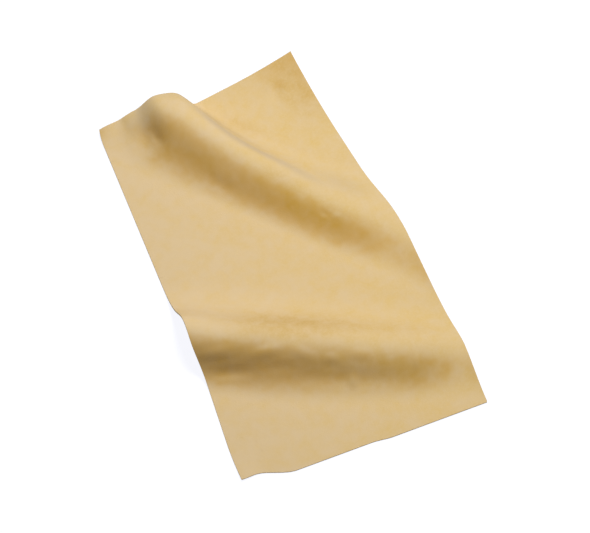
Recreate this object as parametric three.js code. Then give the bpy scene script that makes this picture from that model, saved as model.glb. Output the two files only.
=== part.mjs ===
// Synthetic chamois cloth, laid down with two soft folds.
// Two needle-felted fibre layers are bonded to a net between them, and the laminate is cut to a bare edge.
// Millimetres, +Z up. A point of the flat sheet is given by u, across from the left edge, and by v, down from
// the top edge. The underside of the flat parts lies on z = 0.

import * as THREE from 'three';

// The cut sheet
const sheetWidth = 395;
const sheetLength = 690;

// The laminate, from the underside up
const backThickness = 0.7;
const threadThickness = 0.4;
const faceThickness = 0.7;
const bondGap = 0.1;

// The grid that the sheet is worked out on, and the net, with a thread on every second line of it
const columns = 18;
const rows = 28;
const linesPerThread = 2;
const threadWidth = 1.2;

// The upper fold is an arch where it leaves the top edge, and flattens towards the right edge.
// Each fold has a crest line, its height along it, and the run of its two sides over the ground.
// A skew under 1 puts the steepest place of a side near its foot, and one over 1 puts it near the crest.
const archFold = {
  crestStart: [117, 0],
  crestEnd: [sheetWidth, 381],
  crestBow: -16,
  heightStart: 63.6,
  heightEnd: 26.5,
  heightMiddle: -6.8,
  sinkShare: 0.32,
  nearRunStart: 119.5,
  nearRunMiddle: 81,
  nearRunEnd: 74,
  farRunStart: 53.4,
  farRunEnd: 100,
  nearSkewStart: 1.53,
  nearSkewEnd: 1.07,
  farSkewStart: 0.52,
  farSkewEnd: 1.19,
  changeLength: 0.54,
  farSide: 1,
};

// The lower fold lies across the whole sheet, and its far side faces the bottom edge.
const crossFold = {
  crestStart: [0, 440],
  crestEnd: [sheetWidth, 602],
  crestBow: 4.5,
  heightStart: 57.5,
  heightEnd: 25.5,
  heightMiddle: 5.3,
  sinkShare: 0.38,
  nearRunStart: 114.5,
  nearRunMiddle: 88.5,
  nearRunEnd: 88.5,
  farRunStart: 85.5,
  farRunEnd: 79.7,
  nearSkewStart: 1.8,
  nearSkewEnd: 1.8,
  farSkewStart: 1.32,
  farSkewEnd: 1.32,
  changeLength: 1,
  farSide: -1,
};

// Both folds sink over the last part of their crest, and the near run takes its last width from here on.
const sinkFrom = 0.8;
const lastRunFrom = 0.4;

// The top right corner curls up.
const curlHeight = 26.5;
const curlReach = 122.5;

// The top edge dips beside the arch and on it, which narrows it to a mouth, with a crease along its near foot.
const archHollows = [
  { place: 64, halfWidth: 66, reach: 102, depth: 24.5 },
  { place: 127.5, halfWidth: 61, reach: 66, depth: 20.5 },
  { place: 88, halfWidth: 34, reach: 110, depth: 10 },
];

// The top left corner is cut a little out of square.
const cornerSkew = 11;
const cornerSkewWidth = 75;
const cornerSkewReach = 170;

// The lower fold stands up a little more at the left edge.
const lipHeight = 6;
const lipPlace = 415;
const lipHalfWidth = 45;
const lipReach = 70;

// The bottom edge is cut with a slight bow, fullest beside its left corner. That corner is lifted and drawn in.
const bottomBow = 13;
const bottomBowFrom = 20;
const bottomBowTo = 85;
const bottomBowReach = 207;
const liftHeight = 5;
const liftWidth = 45;
const liftReach = 60;
const cornerDraw = 4.5;

// A profile is added up in this many equal steps of its arc.
const profileSteps = 24;

const clamp01 = (x) => Math.min(Math.max(x, 0), 1);
const mix = (a, b, share) => a + (b - a) * share;

function smooth(x) {
  const c = clamp01(x);
  return c * c * (3 - 2 * c);
}

// The area under smooth(), which goes on as a straight line past 1.
function smoothArea(x) {
  const c = clamp01(x);
  return c ** 3 - c ** 4 / 2 + Math.max(x - 1, 0);
}

// A round hump, 1 at its place and 0 from half its width on.
function hump(x, place, halfWidth) {
  const away = Math.min(Math.abs(x - place) / halfWidth, 1);
  return Math.cos((Math.PI / 2) * away) ** 2;
}

// One side of a fold is a strip whose slope swings up to its steepest angle and back to level.
// For a share of its arc, this gives what the strip covers along the ground and up, as shares of the arc.
function stripReach(share, steepest, skew) {
  let along = 0;
  let up = 0;
  for (let step = 0; step < profileSteps; step += 1) {
    const place = (share * (step + 0.5)) / profileSteps;
    const slope = steepest * Math.sin(Math.PI * place ** skew);
    along += (Math.cos(slope) * share) / profileSteps;
    up += (Math.sin(slope) * share) / profileSteps;
  }
  return { along, up };
}

// The side of a fold that rises by height over a run: its steepest angle is close to 1.5 atan(1.06 height / run),
// and its arc is the cloth that it takes.
function foldSide(height, run, skew) {
  const steepest = 1.5 * Math.atan((1.06 * height) / run);
  const whole = stripReach(1, steepest, skew);
  return { run, steepest, skew, arc: run / whole.along, rise: whole.up };
}

// The cross-section of a fold at a share of its crest line.
function foldSection(fold, share) {
  const sink = 1 - fold.sinkShare * smooth((share - sinkFrom) / (1 - sinkFrom));
  const straight = mix(fold.heightStart, fold.heightEnd, share);
  const height = (straight + fold.heightMiddle * 4 * share * (1 - share)) * sink;
  const change = smooth(share / fold.changeLength);
  const lastChange = smooth((share - lastRunFrom) / (1 - lastRunFrom));
  const firstRun = mix(fold.nearRunStart, fold.nearRunMiddle, change);
  const nearRun = firstRun + (fold.nearRunEnd - fold.nearRunMiddle) * lastChange;
  const farRun = mix(fold.farRunStart, fold.farRunEnd, smooth(share));
  const near = foldSide(height, nearRun, mix(fold.nearSkewStart, fold.nearSkewEnd, change));
  const far = foldSide(height, farRun, mix(fold.farSkewStart, fold.farSkewEnd, change));
  return { height, near, far, takeUp: near.arc + far.arc - near.run - far.run };
}

// How a fold moves the point (u, v) of the flat sheet. The near part stays. The far part is drawn in by the cloth
// that the fold takes, which is more at one end of the crest than at the other, so it turns as it comes.
function foldMove(fold, u, v) {
  const [startU, startV] = fold.crestStart;
  const [endU, endV] = fold.crestEnd;
  const length = Math.hypot(endU - startU, endV - startV);
  const crest = [(endU - startU) / length, (endV - startV) / length];
  const across = [crest[1] * fold.farSide, -crest[0] * fold.farSide];
  const share = ((u - startU) * crest[0] + (v - startV) * crest[1]) / length;
  const inside = clamp01(share);
  const bow = fold.crestBow * 4 * inside * (1 - inside);
  const away = (u - startU) * across[0] + (v - startV) * across[1] - bow;

  const takenAtStart = foldSection(fold, 0).takeUp;
  const takenAtEnd = foldSection(fold, 1).takeUp;
  const { height, near, far } = foldSection(fold, inside);
  const foldArc = near.arc + far.arc;
  const drawn = (foldArc - mix(takenAtStart, takenAtEnd, inside)) / (near.run + far.run);

  let place = away;
  let rise = 0;
  if (away >= far.arc) {
    place = away - mix(takenAtStart, takenAtEnd, share);
  } else if (away >= 0) {
    const reach = stripReach((far.arc - away) / far.arc, far.steepest, far.skew);
    place = drawn * (near.run + far.run - far.arc * reach.along) - near.arc;
    rise = (height * reach.up) / far.rise;
  } else if (away > -near.arc) {
    const reach = stripReach((near.arc + away) / near.arc, near.steepest, near.skew);
    place = drawn * near.arc * reach.along - near.arc;
    rise = (height * reach.up) / near.rise;
  }
  const turn = (takenAtStart - takenAtEnd) / length;
  const slide = -turn * foldArc * smoothArea((away + near.arc) / foldArc);
  const shift = place - away;
  return {
    du: shift * across[0] + slide * crest[0],
    dv: shift * across[1] + slide * crest[1],
    rise,
  };
}

// The underside of the laid sheet at the point (u, v) of the flat sheet.
function underside(u, v) {
  const arch = foldMove(archFold, u, v);
  const cross = foldMove(crossFold, u, v);
  const fromCorner = (sheetWidth - u + v) / Math.SQRT2;
  const curl = curlHeight * clamp01(1 - fromCorner / curlReach) ** 2;
  let dip = 0;
  for (const hollow of archHollows) {
    dip += hollow.depth * hump(u, hollow.place, hollow.halfWidth) * clamp01(1 - v / hollow.reach) ** 2;
  }
  const skew = cornerSkew * clamp01(1 - u / cornerSkewWidth) * clamp01(1 - v / cornerSkewReach) ** 2;
  const fromBottom = sheetLength - v;
  const bowRise = smooth((u - bottomBowFrom) / (bottomBowTo - bottomBowFrom));
  const bowFall = clamp01((sheetWidth - u) / (sheetWidth - bottomBowTo));
  const bow = bottomBow * bowRise * bowFall * smooth(1 - fromBottom / bottomBowReach);
  const nearLeftCorner = hump(u, 0, liftWidth) * clamp01(1 - fromBottom / liftReach) ** 2;
  const lip = lipHeight * hump(v, lipPlace, lipHalfWidth) * clamp01(1 - u / lipReach) ** 2;
  const rise = arch.rise + cross.rise + curl + lip + liftHeight * nearLeftCorner - dip;
  const x = u + arch.du + cross.du + cornerDraw * nearLeftCorner - sheetWidth / 2;
  const y = sheetLength / 2 - (v + arch.dv + cross.dv + skew + bow);
  return new THREE.Vector3(x, y, Math.max(rise, 0));
}

// The sheet's upward normal, from two short steps along it.
function upward(u, v) {
  const step = 0.01;
  const alongU = underside(u + step, v).sub(underside(u - step, v));
  const alongV = underside(u, v + step).sub(underside(u, v - step));
  return alongV.cross(alongU).normalize();
}

const columnWidth = sheetWidth / columns;
const rowLength = sheetLength / rows;
const gridPoints = [];
for (let row = 0; row <= rows; row += 1) {
  const line = [];
  for (let column = 0; column <= columns; column += 1) {
    const u = column * columnWidth;
    const v = row * rowLength;
    line.push({ point: underside(u, v), normal: upward(u, v) });
  }
  gridPoints.push(line);
}

// A point at a depth of the laminate. Each cell of the grid is two flat triangles that meet along its diagonal,
// so that every layer and every thread follows the same facets.
function laminatePoint(u, v, depth) {
  const column = Math.min(Math.floor(u / columnWidth), columns - 1);
  const row = Math.min(Math.floor(v / rowLength), rows - 1);
  const a = u / columnWidth - column;
  const b = v / rowLength - row;
  const first = gridPoints[row][column];
  const last = gridPoints[row + 1][column + 1];
  const side = a > b ? gridPoints[row][column + 1] : gridPoints[row + 1][column];
  const corners = [
    [first, 1 - Math.max(a, b)],
    [side, Math.abs(a - b)],
    [last, Math.min(a, b)],
  ];
  const place = new THREE.Vector3();
  for (const [corner, weight] of corners) {
    place.addScaledVector(corner.point, weight);
    place.addScaledVector(corner.normal, weight * depth);
  }
  return place;
}

// Collects the faces of one piece. Its corners are given on the flat sheet, and are shared where they are the same.
function pieceMesh() {
  const positions = [];
  const triangles = [];
  const known = new Map();

  function corner(u, v, depth) {
    const key = [u, v, depth].map((size) => size.toFixed(4)).join(' ');
    if (!known.has(key)) {
      known.set(key, positions.length / 3);
      positions.push(...laminatePoint(u, v, depth).toArray());
    }
    return known.get(key);
  }
  // Four corners, anticlockwise as seen from outside
  function quad(a, b, c, d) {
    triangles.push(a, b, c, a, c, d);
  }
  function geometry() {
    const shape = new THREE.BufferGeometry();
    shape.setAttribute('position', new THREE.Float32BufferAttribute(positions, 3));
    shape.setIndex(triangles);
    shape.computeVertexNormals();
    return shape;
  }
  return { corner, quad, geometry };
}

// A layer of felt covers the whole sheet, between two depths of the laminate.
function feltLayer(lowDepth, highDepth) {
  const mesh = pieceMesh();
  const at = (column, row, depth) => mesh.corner(column * columnWidth, row * rowLength, depth);
  const wall = (from, to) =>
    mesh.quad(at(...from, lowDepth), at(...to, lowDepth), at(...to, highDepth), at(...from, highDepth));

  for (let row = 0; row < rows; row += 1) {
    for (let column = 0; column < columns; column += 1) {
      const ring = [[column, row], [column, row + 1], [column + 1, row + 1], [column + 1, row]];
      const [a, b, c, d] = ring.map((place) => at(...place, highDepth));
      mesh.quad(a, b, c, d);
      const [e, f, g, h] = ring.map((place) => at(...place, lowDepth));
      mesh.quad(e, h, g, f);
    }
  }
  for (let column = 0; column < columns; column += 1) {
    wall([column + 1, 0], [column, 0]);
    wall([column, rows], [column + 1, rows]);
  }
  for (let row = 0; row < rows; row += 1) {
    wall([0, row], [0, row + 1]);
    wall([columns, row + 1], [columns, row]);
  }
  return mesh.geometry();
}

const isThreadLine = (line, count) => line < count && line % linesPerThread === 1;

// A thread runs along one grid line to both cut edges. It is lens-shaped, with a ridge above and below its line and
// an edge on each side. Where another thread crosses, the two share their ridges, and their edges meet at four
// corners half a thread's width from the crossing. place() turns a distance along the thread and one to its left
// into u and v.
function addThread(mesh, place, count, spacing, crossed, lowDepth, highDepth) {
  const middleDepth = (lowDepth + highDepth) / 2;
  const half = threadWidth / 2;

  function station(line, towards) {
    const along = line * spacing;
    const edgeAlong = along + (crossed(line) ? towards * half : 0);
    return {
      top: mesh.corner(...place(along, 0), highDepth),
      bottom: mesh.corner(...place(along, 0), lowDepth),
      left: mesh.corner(...place(edgeAlong, half), middleDepth),
      right: mesh.corner(...place(edgeAlong, -half), middleDepth),
    };
  }

  const start = station(0, 1);
  mesh.quad(start.top, start.left, start.bottom, start.right);
  for (let line = 0; line < count; line += 1) {
    const from = station(line, 1);
    const to = station(line + 1, -1);
    mesh.quad(from.left, from.top, to.top, to.left);
    mesh.quad(from.top, from.right, to.right, to.top);
    mesh.quad(from.left, to.left, to.bottom, from.bottom);
    mesh.quad(from.bottom, to.bottom, to.right, from.right);
  }
  const end = station(count, -1);
  mesh.quad(end.top, end.right, end.bottom, end.left);
}

function laidNet(lowDepth, highDepth) {
  const mesh = pieceMesh();
  const isWarp = (line) => isThreadLine(line, columns);
  const isWeft = (line) => isThreadLine(line, rows);
  for (let column = 0; column < columns; column += 1) {
    if (!isWarp(column)) continue;
    const place = (along, left) => [column * columnWidth + left, along];
    addThread(mesh, place, rows, rowLength, isWeft, lowDepth, highDepth);
  }
  for (let row = 0; row < rows; row += 1) {
    if (!isWeft(row)) continue;
    const place = (along, left) => [along, row * rowLength - left];
    addThread(mesh, place, columns, columnWidth, isWarp, lowDepth, highDepth);
  }
  return mesh.geometry();
}

// The net lies between the layers with a gap on both sides, and an eighth of a thread's width for its bends.
const threadRoom = bondGap + threadWidth / 8;
const netLow = backThickness + threadRoom;
const netHigh = netLow + threadThickness;
const faceLow = netHigh + threadRoom;

const buffSuede = new THREE.MeshStandardMaterial({ color: 0xdec292, roughness: 0.95, metalness: 0 });
const buffBack = new THREE.MeshStandardMaterial({ color: 0xd8bc8e, roughness: 0.97, metalness: 0 });
const polyesterYarn = new THREE.MeshStandardMaterial({ color: 0xefe9dc, roughness: 0.6, metalness: 0 });

const cloth = new THREE.Group();
function addPiece(name, geometry, material) {
  const piece = new THREE.Mesh(geometry, material);
  piece.name = name;
  cloth.add(piece);
}

addPiece('back_layer', feltLayer(0, backThickness), buffBack);
addPiece('scrim_net', laidNet(netLow, netHigh), polyesterYarn);
addPiece('face_layer', feltLayer(faceLow, faceLow + faceThickness), buffSuede);

// The origin is at the middle of the laid cloth's footprint.
const box = new THREE.Box3().setFromObject(cloth);
const middle = box.getCenter(new THREE.Vector3());
cloth.position.set(-middle.x, -middle.y, -box.min.z);

export default cloth;
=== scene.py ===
import math

import bpy
import numpy as np
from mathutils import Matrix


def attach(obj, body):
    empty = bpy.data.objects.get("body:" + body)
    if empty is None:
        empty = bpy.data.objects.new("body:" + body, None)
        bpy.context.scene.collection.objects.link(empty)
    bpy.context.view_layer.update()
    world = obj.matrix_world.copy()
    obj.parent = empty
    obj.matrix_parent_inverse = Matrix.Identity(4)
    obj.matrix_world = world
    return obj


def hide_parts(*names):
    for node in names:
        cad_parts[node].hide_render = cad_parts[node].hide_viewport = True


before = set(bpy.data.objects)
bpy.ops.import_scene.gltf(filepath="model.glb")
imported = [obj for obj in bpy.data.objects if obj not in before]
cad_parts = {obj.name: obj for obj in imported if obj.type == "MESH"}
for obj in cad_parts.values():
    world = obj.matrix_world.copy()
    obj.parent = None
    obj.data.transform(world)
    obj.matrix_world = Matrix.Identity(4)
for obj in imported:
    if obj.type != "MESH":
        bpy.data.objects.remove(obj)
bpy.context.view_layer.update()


def hexColour(text):  # an sRGB hex value as linear RGBA
    parts = [int(text[k:k + 2], 16) / 255 for k in (1, 3, 5)]
    return [c / 12.92 if c <= 0.04045 else ((c + 0.055) / 1.055) ** 2.4 for c in parts] + [1.0]


def addNode(tree, kind, settings, sockets):
    # Settings are the node's own. A socket takes a value, or a node with the name of its output.
    node = tree.nodes.new(kind)
    for name, value in settings.items():
        setattr(node, name, value)
    for key, value in sockets.items():
        if isinstance(value, tuple) and isinstance(value[0], bpy.types.Node):
            tree.links.new(value[0].outputs[value[1]], node.inputs[key])
        else:
            node.inputs[key].default_value = value
    return node


def startMaterial(name):
    material = bpy.data.materials.new(name)
    material.use_nodes = True
    material.node_tree.nodes.clear()
    return material, material.node_tree


# The sheet as it was cut, in millimetres: u runs across from the left edge, v down from the top edge.
cutSheet = {
    "width": 395.0,
    "length": 690.0,
    "toOrigin": (0.849, -1.547),  # from the sheet's middle to the middle of its footprint
}

# The upper fold is an arch at the top edge. Each fold has a crest line, its height along it, and how far its
# two sides run over the ground. A skew under 1 makes a side steepest near its foot, one over 1 near the crest.
archFold = {
    "crestStart": (117.0, 0.0),
    "crestEnd": (395.0, 381.0),
    "crestBow": -16.0,
    "height": (63.6, 26.5),
    "heightMiddle": -6.8,
    "sinkShare": 0.32,  # the share of its height that it loses towards the end
    "nearRun": (119.5, 81.0, 74.0),
    "farRun": (53.4, 100.0),
    "nearSkew": (1.53, 1.07),
    "farSkew": (0.52, 1.19),
    "changeLength": 0.54,  # the near run and the skews change over this share of the crest
    "farSide": 1,  # the far part is above the crest line
}

# The lower fold lies across the whole sheet.
crossFold = {
    "crestStart": (0.0, 440.0),
    "crestEnd": (395.0, 602.0),
    "crestBow": 4.5,
    "height": (57.5, 25.5),
    "heightMiddle": 5.3,
    "sinkShare": 0.38,
    "nearRun": (114.5, 88.5, 88.5),
    "farRun": (85.5, 79.7),
    "nearSkew": (1.8, 1.8),
    "farSkew": (1.32, 1.32),
    "changeLength": 1.0,
    "farSide": -1,  # the far part is below the crest line
}

changeFrom = {"sink": 0.8, "lastRun": 0.4}  # where the sinking and the last run start, in shares of the crest
slopeFit = {"gain": 1.5, "rise": 1.06}  # the steepest angle of a side, from its height and run
cornerCurl = {"height": 26.5, "reach": 122.5}  # the top right corner curls up
archHollows = (  # the top edge dips beside the arch and on it, and last along the crease at its near foot
    {"place": 64.0, "half": 66.0, "reach": 102.0, "depth": 24.5},
    {"place": 127.5, "half": 61.0, "reach": 66.0, "depth": 20.5},
    {"place": 88.0, "half": 34.0, "reach": 110.0, "depth": 10.0},
)
cornerSkew = {"shift": 11.0, "width": 75.0, "reach": 170.0}  # the top left corner is cut out of square
foldLip = {"height": 6.0, "place": 415.0, "half": 45.0, "reach": 70.0}  # the lower fold rises at the left edge
bottomEdge = {"bow": 14.5, "bowFrom": 20.0, "bowTo": 85.0, "bowReach": 207.0}  # it bows out
edgeStep = {"out": 3.0, "from": 206.0, "to": 240.0, "reach": 70.0}  # and steps out between two places
topCorner = {"draw": 4.2, "width": 60.0, "reach": 34.0}  # the top left corner is drawn in sideways
topEdge = {"draw": 2.2, "place": 190.0, "half": 85.0, "reach": 60.0}  # the top edge is drawn in behind the arch
leftCorner = {  # the bottom left corner is lifted, and drawn in sideways and out lengthways
    "lift": 2.5,
    "draw": 3.5,
    "out": 3.6,
    "width": 45.0,
    "reach": 60.0,
}

# Each dent has its u and v, the turn of its long axis, its half sizes and its depth, below 0 for a hump.
dents = (
    {"at": (80.0, 57.0), "turn": 90.0, "half": (41.0, 40.0), "depth": 5.0},  # the near foot of the arch
    {"at": (93.0, 64.0), "turn": 90.0, "half": (28.0, 13.0), "depth": 1.7},  # the crease along that foot
    {"at": (28.0, 488.0), "turn": 8.0, "half": (42.0, 14.0), "depth": -1.8},  # from here on along the lower fold
    {"at": (42.0, 524.0), "turn": 12.0, "half": (52.0, 16.0), "depth": 2.2},
    {"at": (102.0, 511.0), "turn": 4.0, "half": (42.0, 13.0), "depth": -2.0},
    {"at": (156.0, 533.0), "turn": 41.0, "half": (34.0, 13.0), "depth": -1.2},
    {"at": (118.0, 539.0), "turn": 15.0, "half": (45.0, 14.0), "depth": 1.2},
    {"at": (192.0, 551.0), "turn": 20.0, "half": (22.0, 10.0), "depth": -1.0},
    {"at": (186.0, 562.0), "turn": 20.0, "half": (24.0, 10.0), "depth": 0.8},
    {"at": (195.0, 582.0), "turn": 20.0, "half": (130.0, 20.0), "depth": 1.3},
    {"at": (300.0, 562.0), "turn": 21.0, "half": (75.0, 48.0), "depth": 1.5},
    {"at": (236.0, 561.0), "turn": 20.0, "half": (26.0, 12.0), "depth": -1.0},
    {"at": (212.0, 592.0), "turn": 112.0, "half": (16.0, 12.0), "depth": -1.5},
    {"at": (312.0, 598.0), "turn": 112.0, "half": (18.0, 6.0), "depth": -1.1},
    {"at": (170.0, 174.0), "turn": 54.0, "half": (45.0, 16.0), "depth": -0.7},  # and from here, the upper fold
    {"at": (153.0, 186.0), "turn": 54.0, "half": (45.0, 16.0), "depth": 0.7},
    {"at": (305.0, 315.0), "turn": 54.0, "half": (10.0, 9.0), "depth": -0.6},
    {"at": (290.0, 302.0), "turn": 54.0, "half": (14.0, 8.0), "depth": 0.6},
    {"at": (342.0, 48.0), "turn": 135.0, "half": (26.0, 16.0), "depth": 2.0},  # in the curled corner
)


def smooth(x):  # 3x² - 2x³ between 0 and 1, level outside
    c = np.clip(x, 0, 1)
    return c * c * (3 - 2 * c)


def smoothArea(x):  # the area under smooth(), a straight line past 1
    c = np.clip(x, 0, 1)
    return c ** 3 - c ** 4 / 2 + np.maximum(x - 1, 0)


def hump(x, place, half):  # cosine squared, 1 at its place and 0 from half its width on
    return np.cos(np.pi / 2 * np.minimum(np.abs(x - place) / half, 1)) ** 2


def fade(x, reach):  # falls evenly from 1 at 0 to 0 at its reach
    return np.clip(1 - x / reach, 0, 1)


def arched(share):  # a parabola, 1 in the middle and 0 at both ends
    return 4 * share * (1 - share)


def stripReach(share, steepest, skew, steps=24):
    # A side's slope is steepest·sin(pi·(place along its arc)^skew). The way along and up is the sum of
    # the slope's cosine and sine over the given share of the arc, in equal steps.
    place = share[..., None] * (np.arange(steps) + 0.5) / steps
    slope = steepest[..., None] * np.sin(np.pi * place ** skew[..., None])
    return np.cos(slope).mean(-1) * share, np.sin(slope).mean(-1) * share


def foldSection(fold, share):
    # Height and run give the steepest angle, as gain·atan(rise·height / run), and so the arc of each side.
    whole = np.ones_like(share)
    sink = 1 - fold["sinkShare"] * smooth((share - changeFrom["sink"]) / (1 - changeFrom["sink"]))
    height = (np.interp(share, (0, 1), fold["height"]) + fold["heightMiddle"] * arched(share)) * sink
    change = smooth(share / fold["changeLength"])
    lastChange = smooth((share - changeFrom["lastRun"]) / (1 - changeFrom["lastRun"]))
    firstRun, middleRun, lastRun = fold["nearRun"]
    nearRun = firstRun + (middleRun - firstRun) * change + (lastRun - middleRun) * lastChange
    farRun = np.interp(smooth(share), (0, 1), fold["farRun"])
    section = {"height": height}
    for side, run in (("near", nearRun), ("far", farRun)):
        steepest = slopeFit["gain"] * np.arctan(slopeFit["rise"] * height / run)
        skew = np.interp(change, (0, 1), fold[side + "Skew"])
        along, up = stripReach(whole, steepest, skew)
        section[side] = {"run": run, "steepest": steepest, "skew": skew, "arc": run / along, "rise": up}
    section["takeUp"] = section["near"]["arc"] + section["far"]["arc"] - nearRun - farRun
    return section


def foldMove(fold, u, v):
    # The near part stays. The fold's two sides follow the strip above, and the far part is drawn in by
    # the cloth that the fold takes. That is more at one end of the crest, so the far part also turns.
    start, end = np.array(fold["crestStart"]), np.array(fold["crestEnd"])
    length = np.hypot(*(end - start))
    crest = (end - start) / length
    across = np.array([crest[1], -crest[0]]) * fold["farSide"]
    share = ((u - start[0]) * crest[0] + (v - start[1]) * crest[1]) / length
    inside = np.clip(share, 0, 1)
    away = (u - start[0]) * across[0] + (v - start[1]) * across[1] - fold["crestBow"] * arched(inside)
    takenStart, takenEnd = foldSection(fold, np.array([0.0, 1.0]))["takeUp"]
    section = foldSection(fold, inside)
    near, far, height = section["near"], section["far"], section["height"]
    arc = near["arc"] + far["arc"]
    runs = near["run"] + far["run"]
    drawn = (arc - takenStart - (takenEnd - takenStart) * inside) / runs
    nearAlong, nearUp = stripReach(np.clip(1 + away / near["arc"], 0, 1), near["steepest"], near["skew"])
    farAlong, farUp = stripReach(np.clip(1 - away / far["arc"], 0, 1), far["steepest"], far["skew"])
    rise = np.where(away <= 0, height * nearUp / near["rise"], height * farUp / far["rise"])
    nearPlace, farPlace = drawn * near["arc"] * nearAlong, drawn * (runs - far["arc"] * farAlong)
    place = np.where(away <= 0, nearPlace, farPlace) - near["arc"]
    place = np.where(away <= -near["arc"], away, place)
    place = np.where(away >= far["arc"], away - takenStart - (takenEnd - takenStart) * share, place)
    slide = -(takenStart - takenEnd) / length * arc * smoothArea((away + near["arc"]) / arc)
    shift = place - away
    return shift * across[0] + slide * crest[0], shift * across[1] + slide * crest[1], rise


def dentDepth(dent, u, v):  # the product of two humps, along the dent and across it
    turn = math.radians(dent["turn"])
    right, down = u - dent["at"][0], v - dent["at"][1]
    along = hump(right * math.cos(turn) + down * math.sin(turn), 0, dent["half"][0])
    return dent["depth"] * along * hump(down * math.cos(turn) - right * math.sin(turn), 0, dent["half"][1])


def layCloth(u, v):
    # The underside of the laid sheet, in millimetres: the moves of both folds, then the hollows and dents as a
    # dip, the curled and lifted corners and the lip as a rise, and the draws of the edges and corners. Each is
    # its size times a hump or a step along the edge, and fades with the distance from that edge.
    width, length = cutSheet["width"], cutSheet["length"]
    archU, archV, archRise = foldMove(archFold, u, v)
    crossU, crossV, crossRise = foldMove(crossFold, u, v)
    fromCorner = (width - u + v) / math.sqrt(2)
    fromBottom = length - v
    curl = cornerCurl["height"] * fade(fromCorner, cornerCurl["reach"]) ** 2
    dip = sum(h["depth"] * hump(u, h["place"], h["half"]) * fade(v, h["reach"]) ** 2 for h in archHollows)
    dip = dip + sum(dentDepth(dent, u, v) for dent in dents)
    skew = cornerSkew["shift"] * fade(u, cornerSkew["width"]) * fade(v, cornerSkew["reach"]) ** 2
    bowRise = smooth((u - bottomEdge["bowFrom"]) / (bottomEdge["bowTo"] - bottomEdge["bowFrom"]))
    bowFall = np.clip((width - u) / (width - bottomEdge["bowTo"]), 0, 1)
    bow = bottomEdge["bow"] * bowRise * bowFall * smooth(1 - fromBottom / bottomEdge["bowReach"])
    step = edgeStep["out"] * smooth((u - edgeStep["from"]) / (edgeStep["to"] - edgeStep["from"]))
    step = step * fade(fromBottom, edgeStep["reach"]) ** 2
    drawn = topCorner["draw"] * fade(u, topCorner["width"]) * fade(v, topCorner["reach"]) ** 2
    behind = topEdge["draw"] * hump(u, topEdge["place"], topEdge["half"]) * fade(v, topEdge["reach"]) ** 2
    nearCorner = hump(u, 0, leftCorner["width"]) * fade(fromBottom, leftCorner["reach"]) ** 2
    lip = foldLip["height"] * hump(v, foldLip["place"], foldLip["half"]) * fade(u, foldLip["reach"]) ** 2
    rise = archRise + crossRise + curl + lip + leftCorner["lift"] * nearCorner - dip
    x = u + archU + crossU + leftCorner["draw"] * nearCorner + drawn - width / 2 + cutSheet["toOrigin"][0]
    out = skew + behind + bow + step + leftCorner["out"] * nearCorner
    y = length / 2 - (v + archV + crossV + out) + cutSheet["toOrigin"][1]
    return np.stack([x, y, np.maximum(rise, 0)], -1)


shadeLean = {"towards": (0.55, 0.83), "opens": (0.1, 0.65)}  # the painted shade grows between these two leans away from the light

# Marks of handling and of painted shade, each a patch as a dent is, with its share as the depth.
rubAndShadeMarks = (  # the nap is rubbed down to the golden fibre, and on the crest of the lower fold the mark is also painted shade
    {"at": (378.0, 40.0), "turn": 80.0, "half": (120.0, 62.0), "depth": 0.8},  # the curled corner
    {"at": (150.0, 475.0), "turn": 20.0, "half": (140.0, 54.0), "depth": 1.0},  # the crest of the lower fold
    {"at": (275.0, 528.0), "turn": 22.0, "half": (140.0, 40.0), "depth": 0.35},
    {"at": (252.0, 222.0), "turn": 54.0, "half": (70.0, 26.0), "depth": 0.4},  # the crest of the upper fold
    {"at": (72.0, 72.0), "turn": 80.0, "half": (42.0, 26.0), "depth": 0.7},  # beside its near foot
    {"at": (122.0, 58.0), "turn": 90.0, "half": (22.0, 16.0), "depth": 0.6},  # on the side above that foot
    {"at": (262.0, 78.0), "turn": 57.0, "half": (60.0, 22.0), "depth": 0.4},  # behind its back foot
)
creaseShadeMarks = (  # painted shade, grey, along the crease at the back foot of the arch, the last mark wide and faint
    {"at": (198.0, 89.0), "turn": 61.0, "half": (75.0, 15.0), "depth": 0.7},
    {"at": (240.0, 151.0), "turn": 52.0, "half": (75.0, 16.0), "depth": 0.7},
    {"at": (285.0, 213.0), "turn": 60.0, "half": (75.0, 18.0), "depth": 0.55},
    {"at": (345.0, 262.0), "turn": 50.0, "half": (75.0, 40.0), "depth": 0.35},
)
shadeOffMarks = (  # the painted shade on slopes is held off here
    {"at": (78.0, 12.0), "turn": 90.0, "half": (58.0, 75.0), "depth": 1.0},  # beside the arch
    {"at": (235.0, 575.0), "turn": 22.0, "half": (150.0, 50.0), "depth": 0.35},  # in part, along the lower fold
    {"at": (215.0, 606.0), "turn": 20.0, "half": (120.0, 24.0), "depth": 0.4},
)
goldenShadeMarks = (  # the painted shade is golden here, and brown elsewhere
    {"at": (276.0, 286.0), "turn": 54.0, "half": (125.0, 50.0), "depth": 1.0},  # on the upper fold
    {"at": (186.0, 556.0), "turn": 30.0, "half": (42.0, 32.0), "depth": 0.9},  # on the lower fold
    {"at": (285.0, 602.0), "turn": 20.0, "half": (120.0, 42.0), "depth": 0.9},
)


# The second step gives the normal from which the painted shade is found.
normalStep = {"shape": 0.25, "nap": 1.0}  # millimetres to each side of a point


def sheetNormal(u, v, step):  # the cross product of the ways along v and along u, brought to length 1
    alongU = layCloth(u + step, v) - layCloth(u - step, v)
    alongV = layCloth(u, v + step) - layCloth(u, v - step)
    normal = np.cross(alongV, alongU)
    return normal / np.linalg.norm(normal, axis=-1, keepdims=True)


def clothPoint(u, v, depth):
    # A point at a depth of the laminate, measured up the sheet's normal from its underside, in metres.
    normal = sheetNormal(u, v, normalStep["shape"])
    return (layCloth(u, v) + normal * np.asarray(depth)[..., None]) / 1000


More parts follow.
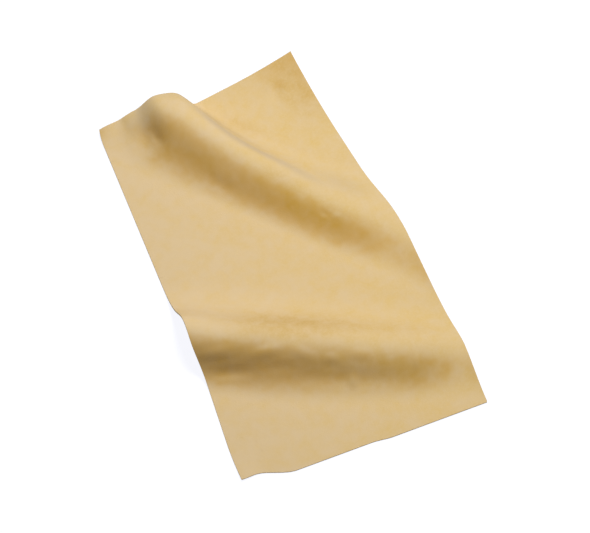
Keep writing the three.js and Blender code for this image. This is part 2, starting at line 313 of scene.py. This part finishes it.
def gridFaces(rows, columns, first):  # quads of a grid of points, anticlockwise from above
    a = first + np.arange(rows * columns).reshape(rows, columns)
    return np.stack([a[:-1, :-1], a[1:, :-1], a[1:, 1:], a[:-1, 1:]], -1).reshape(-1, 4)


def markAndShadeShares(u, v):
    # Painted shade: a slope that faces away from the top right, where the key light stands, gets a darker colour.
    # Its share is the upward normal's lean, smoothed between two leans, less where marks hold it off. The marks
    # are sums of patches.
    normal = sheetNormal(u, v, normalStep["nap"])
    lean = -normal[..., 0] * shadeLean["towards"][0] - normal[..., 1] * shadeLean["towards"][1]
    least, full = shadeLean["opens"]
    marks = {"rubbedNap": rubAndShadeMarks, "pressedNap": creaseShadeMarks, "shadeOffNap": shadeOffMarks, "goldenNap": goldenShadeMarks}
    shares = {name: sum(dentDepth(patch, u, v) for patch in patches) for name, patches in marks.items()}
    shares["openNap"] = smooth((lean - least) / (full - least)) * (1 - shares.pop("shadeOffNap"))
    return shares


def putMesh(name, points, faces, flat):  # flat holds u and v in metres for each point, as the UV map
    mesh = bpy.data.meshes.new(name)
    mesh.from_pydata(points, [], faces.tolist())
    corners = np.empty(len(mesh.loops), dtype=np.int32)
    mesh.loops.foreach_get("vertex_index", corners)
    mesh.uv_layers.new(name="flatSheet").data.foreach_set("uv", flat[corners].astype(np.float32).ravel())
    mesh.polygons.foreach_set("use_smooth", np.ones(len(mesh.polygons), dtype=bool))
    piece = bpy.data.objects.new(name, mesh)
    bpy.context.scene.collection.objects.link(piece)
    return piece


# The laminate, in millimetres, with its depths measured up from the underside.
laminate = {
    "gridStep": 2.9,
    "rimLines": (0.0, 0.25, 0.6, 1.2, 2.4),  # the first grid lines, in from a cut edge
    "innerFrom": 4.0,  # the even grid starts here
    "thickness": 2.3,
    "backTop": 0.85,
    "faceLow": 1.45,
    "rimClose": 3.0,  # the cutting die presses the two layers together this far in from the edge
    "rimMiddle": 1.15,  # where they meet
    "rimGap": 0.04,  # and how far each stays from there
    "rimRound": 0.5,
}


def cutLines(size):  # grid lines across a side, close together at the two cut edges and even between them
    rim, margin = np.array(laminate["rimLines"]), laminate["innerFrom"]
    count = round((size - 2 * margin) / laminate["gridStep"]) + 1
    return np.concatenate([rim, np.linspace(margin, size - margin, count), size - rim[::-1]])


def feltSheet(name, u, v, low, high):
    # A closed sheet between two grids of depths: the upper grid, the lower one turned over, and the rim
    # between them.
    rows, columns = u.shape
    upper, lower = clothPoint(u, v, high), clothPoint(u, v, low)
    count = rows * columns
    index = np.arange(count).reshape(rows, columns)
    ring = np.concatenate([index[:-1, 0], index[-1, :-1], index[:0:-1, -1], index[0, :0:-1]])
    after = np.roll(ring, -1)
    rim = np.stack([ring + count, after + count, after, ring], -1)
    faces = np.concatenate([gridFaces(rows, columns, 0), gridFaces(rows, columns, count)[:, ::-1], rim])
    flat = np.stack([u, -v], -1).reshape(-1, 2) / 1000
    points = np.concatenate([upper.reshape(-1, 3), lower.reshape(-1, 3)])
    piece = putMesh(name, points, faces, np.concatenate([flat, flat]))
    for attribute, share in markAndShadeShares(u, v).items():
        both = np.tile(share.ravel(), 2).astype(np.float32)
        piece.data.attributes.new(attribute, "FLOAT", "POINT").data.foreach_set("value", both)
    return piece


sheetU, sheetV = np.meshgrid(cutLines(cutSheet["width"]), cutLines(cutSheet["length"]))
fromSides = np.minimum(sheetU, cutSheet["width"] - sheetU)
fromEnds = np.minimum(sheetV, cutSheet["length"] - sheetV)
fromEdge = np.minimum(fromSides, fromEnds)
pressed = 1 - smooth(fromEdge / laminate["rimClose"])
rounding = laminate["rimRound"] * (1 - np.sqrt(1 - fade(fromEdge, laminate["rimRound"]) ** 2))  # a quarter circle
backTop = laminate["backTop"] + (laminate["rimMiddle"] - laminate["rimGap"] - laminate["backTop"]) * pressed
faceLow = laminate["faceLow"] + (laminate["rimMiddle"] + laminate["rimGap"] - laminate["faceLow"]) * pressed
faceLayer = feltSheet("faceLayer", sheetU, sheetV, faceLow, laminate["thickness"] - rounding)
backLayer = feltSheet("backLayer", sheetU, sheetV, rounding, backTop)
print("felt layers:", len(faceLayer.data.polygons), "and", len(backLayer.data.polygons), "faces")

# The net is laid and not woven: the weft threads lie on the warp threads and are bonded to them. Millimetres.
laidNet = {
    "pitch": 8.0,  # coarser than the real yarn, which is a few millimetres apart
    "threadWidth": 0.7,
    "warpDepth": (0.95, 1.15),
    "weftDepth": (1.15, 1.35),
    "fromEdge": 3.5,
    "step": 6.0,
}


def threadRuns(length, across, depths):
    # Flat lens-shaped threads side by side: each is a ring of four points carried along a straight line of the
    # flat sheet. Gives arrays of distance along, distance across and depth, of threads by steps by four.
    steps = round((length - 2 * laidNet["fromEdge"]) / laidNet["step"]) + 1
    count = round((across - 2 * laidNet["fromEdge"]) / laidNet["pitch"])
    pitch = across / count
    along = np.linspace(laidNet["fromEdge"], length - laidNet["fromEdge"], steps)
    middles = pitch * (np.arange(count) + 0.5)
    half = laidNet["threadWidth"] / 2
    ring = np.array([(half, 0.5), (0, 1), (-half, 0.5), (0, 0)])
    alongGrid = np.broadcast_to(along[None, :, None], (count, steps, 4))
    acrossGrid = middles[:, None, None] + np.broadcast_to(ring[:, 0], (count, steps, 4))
    depthGrid = np.broadcast_to(depths[0] + (depths[1] - depths[0]) * ring[:, 1], (count, steps, 4))
    return alongGrid, acrossGrid, depthGrid


def threadFaces(count, steps, first, flip):  # four quads a step and a cap on both ends
    index = first + np.arange(count * steps * 4).reshape(count, steps, 4)
    turned = np.roll(index, -1, axis=2)
    sides = np.stack([index[:, :-1], turned[:, :-1], turned[:, 1:], index[:, 1:]], -1).reshape(-1, 4)
    faces = np.concatenate([sides, index[:, 0, ::-1], index[:, -1]])
    return faces[:, ::-1] if flip else faces


warpAlong, warpAcross, warpDepth = threadRuns(cutSheet["length"], cutSheet["width"], laidNet["warpDepth"])
weftAlong, weftAcross, weftDepth = threadRuns(cutSheet["width"], cutSheet["length"], laidNet["weftDepth"])
netU = np.concatenate([warpAcross.ravel(), weftAlong.ravel()])
netV = np.concatenate([warpAlong.ravel(), weftAcross.ravel()])
netDepth = np.concatenate([warpDepth.ravel(), weftDepth.ravel()])
netFaces = np.concatenate([
    threadFaces(warpAlong.shape[0], warpAlong.shape[1], 0, True),
    threadFaces(weftAlong.shape[0], weftAlong.shape[1], warpAlong.size, False),
])
netFlat = np.stack([netU, -netV], -1) / 1000
scrimNet = putMesh("scrimNet", clothPoint(netU, netV, netDepth), netFaces, netFlat)
print("net:", warpAlong.shape[0], "warp and", weftAlong.shape[0], "weft threads")

# Sueded chamois felt: viscose and polyester fibre, needled and bonded with latex, then buffed.
# To the eye it is matt and a little cloudy, with a short nap that lightens at a low angle.
suedeLook = {
    "body": "#dfc79d",
    "golden": "#dec07e",
    "pale": "#e4cda4",
    "rubbed": "#cfad67",  # where the nap is rubbed away; on the crest of the lower fold also painted shade
    "pressed": "#cbb798",  # painted shade along the crease at the back foot of the arch
    "deep": "#d8b26c",  # painted shade on slopes that face away from the light
    "shadeGolden": "#d2a84d",
    "sheen": "#fff2dc",
    "noise": {  # each with its size in millimetres, its detail and its roughness
        "cloud": (42.0, 3.0, 0.5),
        "deepCloud": (40.0, 1.5, 0.5),
        "clump": (18.0, 2.0, 0.5),
        "tuft": (26.0, 2.5, 0.55),
        "fleck": (4.5, 3.0, 0.65),
        "nap": (2.2, 2.0, 0.6),  # the real nap is under half a millimetre, and this is coarse enough to show
    },
    "shares": {  # each with its source, the part of that source that counts, and the share at both ends of it
        "side": ("across", (0.03, 0.32), (0.0, 0.44)),  # in metres from the left edge
        "cloud": ("cloud", (0.38, 0.72), (0.0, 0.4)),
        "clump": ("clump", (0.3, 0.7), (-0.25, 0.25)),
        "rubbedClump": ("clump", (0.35, 0.65), (0.55, 1.0)),
        "openClump": ("clump", (0.35, 0.65), (0.8, 1.0)),
        "fleck": ("fleck", (0.4, 0.75), (0.0, 0.45)),
        "deepCloud": ("deepCloud", (0.3, 0.7), (-0.3, 0.5)),
        "tuft": ("tuft", (0.3, 0.7), (-0.6, 0.6)),
    },
    "napRelief": {"Strength": 0.25, "Distance": 0.0006},
    "surface": {
        "Roughness": 0.92,
        "IOR": 1.45,
        "Specular IOR Level": 0.2,
        "Sheen Weight": 0.15,
        "Sheen Roughness": 0.5,
    },
}
plainLook = {  # plain chamois felt: the same fibre, not buffed, so a little darker and with finer flecks
    **suedeLook,
    "body": "#d9be90",
    "noise": {**suedeLook["noise"], "fleck": (3.5, 3.0, 0.65)},
}


def suedeFelt(name, look):  # a Mix node takes its colours at inputs 6 and 7 and gives one at output 2
    material, tree = startMaterial(name)
    flat = addNode(tree, "ShaderNodeUVMap", {"uv_map": "flatSheet"}, {})
    place = addNode(tree, "ShaderNodeSeparateXYZ", {}, {"Vector": (flat, "UV")})
    source = {"across": (place, "X")}
    for part, (size, detail, rough) in look["noise"].items():
        noise = addNode(tree, "ShaderNodeTexNoise", {}, {
            "Vector": (flat, "UV"), "Scale": 1000 / size, "Detail": detail, "Roughness": rough})
        source[part] = (noise, "Fac")
    share = {}
    for part, (origin, (least, most), (lowShare, highShare)) in look["shares"].items():
        ranged = addNode(tree, "ShaderNodeMapRange", {}, {
            "Value": source[origin],
            "From Min": least, "From Max": most, "To Min": lowShare, "To Max": highShare})
        share[part] = (ranged, "Result")
    for part in ("rubbedNap", "pressedNap", "goldenNap", "openNap"):  # the shares that the mesh carries
        share[part] = (addNode(tree, "ShaderNodeAttribute", {"attribute_name": part}, {}), "Fac")

    # The body turns golden in clouds and clumps, and towards the right edge.
    warmSum = addNode(tree, "ShaderNodeMath", {"operation": "ADD"}, {0: share["cloud"], 1: share["side"]})
    warmShare = addNode(tree, "ShaderNodeMath", {"operation": "ADD", "use_clamp": True}, {
        0: (warmSum, "Value"), 1: share["clump"]})
    warm = addNode(tree, "ShaderNodeMix", {"data_type": "RGBA"}, {
        0: (warmShare, "Value"), 6: hexColour(look["body"]), 7: hexColour(look["golden"])})

    # Rubbed marks, in one place also painted shade, are clumped too, and pale flecks and the grey painted shade
    # along the arch's back foot lie over them.
    rubbedShare = addNode(tree, "ShaderNodeMath", {"operation": "MULTIPLY", "use_clamp": True}, {
        0: share["rubbedNap"], 1: share["rubbedClump"]})
    worn = addNode(tree, "ShaderNodeMix", {"data_type": "RGBA"}, {
        0: (rubbedShare, "Value"), 6: (warm, 2), 7: hexColour(look["rubbed"])})
    tone = addNode(tree, "ShaderNodeMix", {"data_type": "RGBA"}, {
        0: share["fleck"], 6: (worn, 2), 7: hexColour(look["pale"])})
    creaseShaded = addNode(tree, "ShaderNodeMix", {"data_type": "RGBA"}, {
        0: share["pressedNap"], 6: (tone, 2), 7: hexColour(look["pressed"])})

    # The painted shade on slopes that face away from the light is brown or golden. It is mottled where it is half
    # strong, and clumped all over.
    shadeGoldenShare = addNode(tree, "ShaderNodeMath", {"operation": "ADD", "use_clamp": True}, {
        0: share["goldenNap"], 1: share["deepCloud"]})
    deep = addNode(tree, "ShaderNodeMix", {"data_type": "RGBA"}, {
        0: (shadeGoldenShare, "Value"), 6: hexColour(look["deep"]), 7: hexColour(look["shadeGolden"])})
    shadeEdge = addNode(tree, "ShaderNodeMath", {"operation": "PINGPONG"}, {0: share["openNap"], 1: 0.5})
    shadeMottled = addNode(tree, "ShaderNodeMath", {"operation": "MULTIPLY_ADD"}, {
        0: share["tuft"], 1: (shadeEdge, "Value"), 2: share["openNap"]})
    paintedShadeShare = addNode(tree, "ShaderNodeMath", {"operation": "MULTIPLY", "use_clamp": True}, {
        0: (shadeMottled, "Value"), 1: share["openClump"]})
    # Here the painted shade is laid over the felt's own colour.
    depth = addNode(tree, "ShaderNodeMix", {"data_type": "RGBA"}, {
        0: (paintedShadeShare, "Value"), 6: (creaseShaded, 2), 7: (deep, 2)})

    bump = addNode(tree, "ShaderNodeBump", {}, {"Height": source["nap"], **look["napRelief"]})
    surface = addNode(tree, "ShaderNodeBsdfPrincipled", {}, {
        "Base Color": (depth, 2), "Normal": (bump, "Normal"), "Sheen Tint": hexColour(look["sheen"]),
        **look["surface"]})
    addNode(tree, "ShaderNodeOutputMaterial", {}, {"Surface": (surface, "BSDF")})
    return material


faceLayer.data.materials.append(suedeFelt("suededChamoisFelt", suedeLook))
backLayer.data.materials.append(suedeFelt("plainChamoisFelt", plainLook))

# Spun polyester yarn: off-white, with the faint gloss of the drawn filaments.
yarnLook = {"pale": "#f3eee3", "dark": "#ddd5c4", "fibreSize": 0.6, "roughness": 0.55, "ior": 1.57}
yarnMaterial, yarnTree = startMaterial("polyesterYarn")
yarnPlace = addNode(yarnTree, "ShaderNodeUVMap", {"uv_map": "flatSheet"}, {})
yarnFibre = addNode(yarnTree, "ShaderNodeTexNoise", {}, {
    "Vector": (yarnPlace, "UV"), "Scale": 1000 / yarnLook["fibreSize"]})
yarnTone = addNode(yarnTree, "ShaderNodeMix", {"data_type": "RGBA"}, {
    0: (yarnFibre, "Fac"), 6: hexColour(yarnLook["pale"]), 7: hexColour(yarnLook["dark"])})
yarnSurface = addNode(yarnTree, "ShaderNodeBsdfPrincipled", {}, {
    "Base Color": (yarnTone, 2), "Roughness": yarnLook["roughness"], "IOR": yarnLook["ior"]})
addNode(yarnTree, "ShaderNodeOutputMaterial", {}, {"Surface": (yarnSurface, "BSDF")})
scrimNet.data.materials.append(yarnMaterial)
print("materials done")

for piece, node, slot in (
    (faceLayer, "face_layer", "face_suede"),
    (backLayer, "back_layer", "back_felt"),
    (scrimNet, "scrim_net", "net_yarn"),
):
    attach(piece, "root")
    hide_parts(node)

# The ground: a pale paper sweep that keeps the shadow and reads as white to the camera. Its own paper colour
# lights the cloth's edges and underside.
ground = {"size": 12.0, "drop": 0.0004, "paper": "#c4c4c4", "shade": "#6c6c6e", "glow": "#f4f5fb"}
groundMesh = bpy.data.meshes.new("groundSweep")
half = ground["size"] / 2
groundCorners = [(x * half, y * half, -ground["drop"]) for x, y in ((-1, -1), (1, -1), (1, 1), (-1, 1))]
groundMesh.from_pydata(groundCorners, [], [(0, 1, 2, 3)])
groundSweep = bpy.data.objects.new("groundSweep", groundMesh)
bpy.context.scene.collection.objects.link(groundSweep)
paperMaterial, paperTree = startMaterial("mattPaper")
paperPath = addNode(paperTree, "ShaderNodeLightPath", {}, {})
paperTone = addNode(paperTree, "ShaderNodeMix", {"data_type": "RGBA"}, {
    0: (paperPath, "Is Camera Ray"), 6: hexColour(ground["paper"]), 7: hexColour(ground["shade"])})
paperDiffuse = addNode(paperTree, "ShaderNodeBsdfDiffuse", {}, {"Color": (paperTone, 2)})
paperGlow = addNode(paperTree, "ShaderNodeEmission", {}, {
    "Color": hexColour(ground["glow"]), "Strength": (paperPath, "Is Camera Ray")})
paperBoth = addNode(paperTree, "ShaderNodeAddShader", {}, {
    0: (paperDiffuse, "BSDF"), 1: (paperGlow, "Emission")})
addNode(paperTree, "ShaderNodeOutputMaterial", {}, {"Surface": (paperBoth, "Shader")})
groundMesh.materials.append(paperMaterial)

# Light: one large soft key from behind on the right, and a low even fill from the world.
keyLamp = {
    "azimuth": 37.0,
    "elevation": 71.0,
    "distance": 2.8,
    "size": 0.8,
    "power": 69.0,
    "colour": "#fffdfa",
}
keyData = bpy.data.lights.new("softKey", "AREA")
keyData.shape = "DISK"
keyData.size = keyLamp["size"]
keyData.energy = keyLamp["power"]
keyData.color = hexColour(keyLamp["colour"])[:3]
softKey = bpy.data.objects.new("softKey", keyData)
keyTurn = math.radians(keyLamp["azimuth"])
keyRise = math.radians(keyLamp["elevation"])
keyLevel = math.cos(keyRise)
keyWay = np.array([math.cos(keyTurn) * keyLevel, math.sin(keyTurn) * keyLevel, math.sin(keyRise)])
softKey.location = keyWay * keyLamp["distance"]
softKey.rotation_euler = (math.pi / 2 - keyRise, 0, keyTurn + math.pi / 2)
bpy.context.scene.collection.objects.link(softKey)

fill = {"colour": "#fff3e2", "strength": 0.14, "seen": "#ffffff"}  # the camera sees plain white past the ground
world = bpy.data.worlds.new("studioFill")
world.use_nodes = True
worldTree = world.node_tree
worldTree.nodes.clear()
worldPath = addNode(worldTree, "ShaderNodeLightPath", {}, {})
fillLight = addNode(worldTree, "ShaderNodeBackground", {}, {
    "Color": hexColour(fill["colour"]), "Strength": fill["strength"]})
seenLight = addNode(worldTree, "ShaderNodeBackground", {}, {"Color": hexColour(fill["seen"]), "Strength": 1.0})
worldMix = addNode(worldTree, "ShaderNodeMixShader", {}, {
    0: (worldPath, "Is Camera Ray"), 1: (fillLight, "Background"), 2: (seenLight, "Background")})
addNode(worldTree, "ShaderNodeOutputWorld", {}, {"Surface": (worldMix, "Shader")})
bpy.context.scene.world = world

# The camera stands at the photo's angle, for a picture of 590 by 533.
photoCamera = {
    "azimuth": -22.46,
    "elevation": 63.82,
    "distance": 2.541,
    "aim": (0.01039, -0.0218, 0.0023),
    "lens": 97.63,
    "sensor": 36.0,
}
cameraData = bpy.data.cameras.new("photoCamera")
cameraData.sensor_fit = "HORIZONTAL"
cameraData.sensor_width = photoCamera["sensor"]
cameraData.lens = photoCamera["lens"]
cameraObject = bpy.data.objects.new("photoCamera", cameraData)
cameraTurn = math.radians(photoCamera["azimuth"])
cameraRise = math.radians(photoCamera["elevation"])
cameraLevel = math.cos(cameraRise)
cameraWay = np.array([
    math.sin(cameraTurn) * cameraLevel, -math.cos(cameraTurn) * cameraLevel, math.sin(cameraRise)])
cameraObject.location = np.array(photoCamera["aim"]) + cameraWay * photoCamera["distance"]
cameraObject.rotation_euler = (math.pi / 2 - cameraRise, 0, cameraTurn)
bpy.context.scene.collection.objects.link(cameraObject)
bpy.context.scene.camera = cameraObject
bpy.context.scene.view_settings.view_transform = "Standard"
print("ground, light and camera done")
